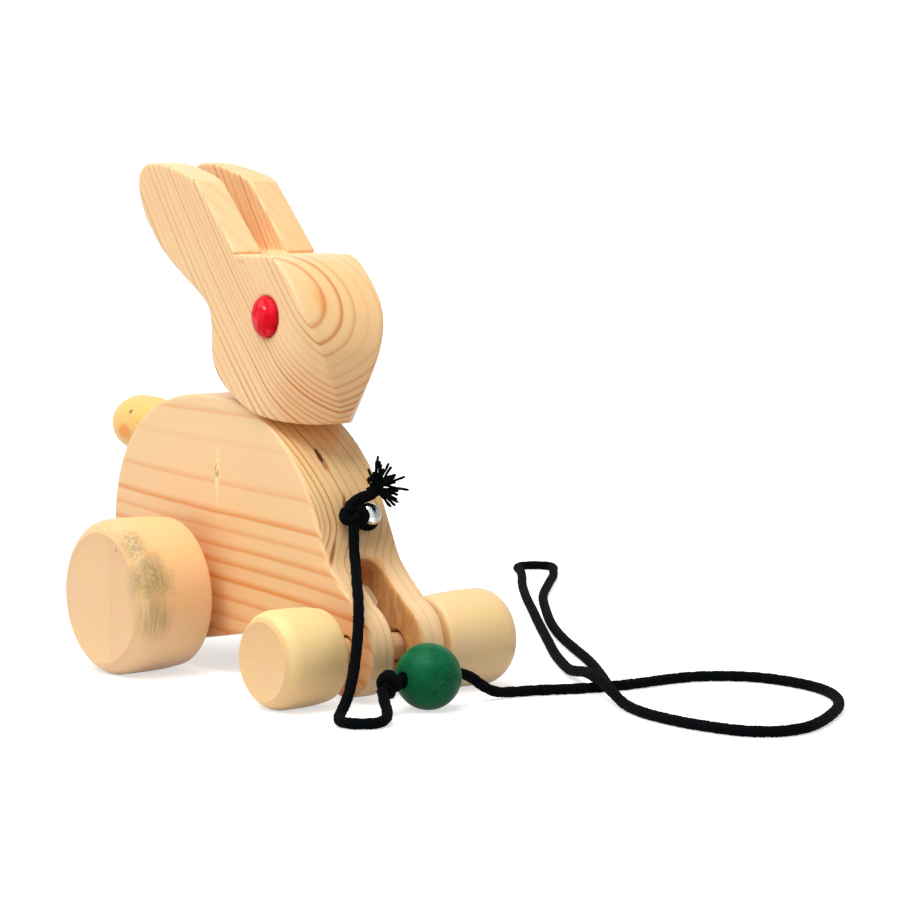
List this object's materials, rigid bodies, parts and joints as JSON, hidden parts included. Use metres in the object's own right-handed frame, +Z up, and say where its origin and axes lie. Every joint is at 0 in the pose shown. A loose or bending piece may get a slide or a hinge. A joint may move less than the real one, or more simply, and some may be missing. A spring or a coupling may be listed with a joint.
{
  "type": "wheeled pull toy",
  "caption": "Varnished pine rabbit on drum wheels, with red eye stones and a black braided pull cord that carries a green bead.",
  "frame": {"origin": "on the floor, under the middle of the toy without its cord", "axes": "+X the way the rabbit looks, +Y to its left, +Z up"},
  "size_m": [0.2927, 0.2462, 0.1453],
  "materials": {
    "pine": "clear varnished pine",
    "turned_wood": "turned, satin varnish",
    "dowel": "plain dowel",
    "eye_stone": "faceted red acrylic",
    "screw_steel": "plated steel",
    "cord": "braided synthetic cord",
    "bead_paint": "green gloss paint, scuffed"
  },
  "bodies": {
    "toy": {"body": "pine", "head": "pine", "neck_peg": "dowel", "right_eye": "eye_stone", "left_eye": "eye_stone", "tail": "turned_wood", "chest_screw": "screw_steel", "chest_knot": "cord", "frayed_end": "cord", "drop_cord": "cord", "bead_knot": "cord", "pull_cord": "cord"},
    "rear_wheel_set": {"rear_axle": "dowel", "right_rear_wheel": "turned_wood", "left_rear_wheel": "turned_wood"},
    "front_wheel_set": {"front_axle": "dowel", "right_front_wheel": "turned_wood", "left_front_wheel": "turned_wood"},
    "bead": {"bead": "bead_paint"}
  },
  "joints": [
    {"name": "rear_wheels_turn", "type": "hinge", "parent": "toy", "child": "rear_wheel_set", "pos_m": [-0.017, 0, 0.02225], "axis": [0, 1, 0], "continuous": true},
    {"name": "front_wheels_turn", "type": "hinge", "parent": "toy", "child": "front_wheel_set", "pos_m": [0.0595, 0, 0.0135], "axis": [0, 1, 0], "continuous": true},
    {"name": "bead_turns", "type": "hinge", "parent": "toy", "child": "bead", "pos_m": [0.084, -0.0025, 0.009], "axis": [0, 1, 0], "continuous": true}
  ]
}
